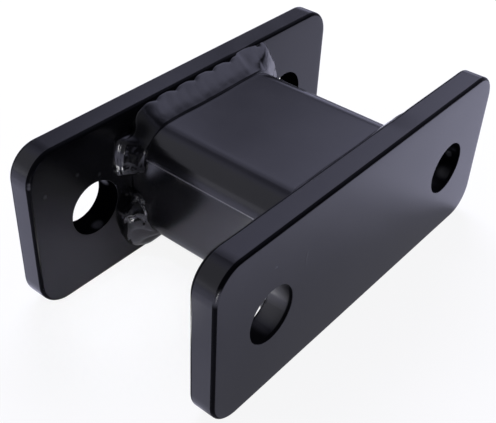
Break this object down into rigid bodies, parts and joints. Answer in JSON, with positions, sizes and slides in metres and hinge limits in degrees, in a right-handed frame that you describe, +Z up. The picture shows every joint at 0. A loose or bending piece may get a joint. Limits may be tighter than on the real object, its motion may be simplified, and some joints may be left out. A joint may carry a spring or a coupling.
{
  "type": "tow ball extension plate",
  "caption": "Black welded steel bracket that moves a flange tow ball back: drilled plates with rounded corners held apart by a short box-section tube.",
  "frame": {"origin": "on the floor under the middle of the bracket, centre of the lower face of its bounding box", "axes": "+X along the plates' long edges, +Y from the tow ball side to the vehicle side, +Z up"},
  "size_m": [0.135, 0.075, 0.054],
  "materials": {
    "black_paint": "smooth black powder coat with a soft gloss, over plates, tube and welds alike"
  },
  "bodies": {
    "root": {"vehicle_side_plate": "black_paint", "ball_side_plate": "black_paint", "spacer_tube": "black_paint", "vehicle_side_upper_weld": "black_paint", "vehicle_side_lower_weld": "black_paint", "ball_side_upper_weld": "black_paint", "ball_side_lower_weld": "black_paint"}
  },
  "joints": []
}
